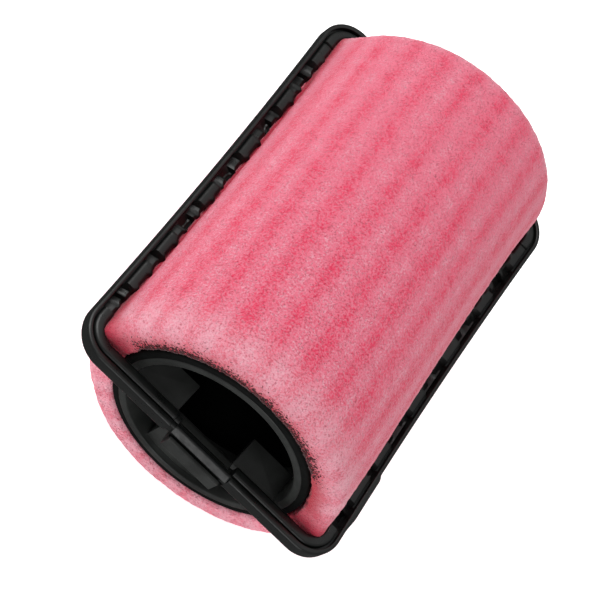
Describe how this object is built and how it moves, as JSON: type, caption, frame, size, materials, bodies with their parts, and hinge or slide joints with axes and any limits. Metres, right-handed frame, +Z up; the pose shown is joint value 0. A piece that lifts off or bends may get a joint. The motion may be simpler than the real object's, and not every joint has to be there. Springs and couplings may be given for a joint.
{
  "type": "hair roller",
  "caption": "Foam hair roller on an open plastic core, held in a toothed rectangular loop frame that hinges at one end and clicks into the other.",
  "frame": {"origin": "on the surface that the roller rests on, under the middle of its box", "axes": "+Y along the roller's axis from the hinge end to the catch end, +Z up, out of the loop frame's plane"},
  "size_m": [0.0446, 0.0712, 0.0384],
  "materials": {
    "foam": "open-cell foam, matt, streaked pink",
    "core_plastic": "moulded black, satin gloss",
    "frame_plastic": "moulded black, satin gloss"
  },
  "bodies": {
    "roller": {"foam_sleeve": "foam", "core_tube": "core_plastic", "near_hub": "core_plastic", "far_hub": "core_plastic"},
    "loop": {"near_bar": "frame_plastic", "far_bar": "frame_plastic", "left_bar": "frame_plastic", "right_bar": "frame_plastic"}
  },
  "joints": [
    {"name": "loop_hinge", "type": "hinge", "parent": "roller", "child": "loop", "pos_m": [0, -0.03375, 0.01925], "axis": [1, 0, 0], "range_deg": [0, 180]}
  ]
}
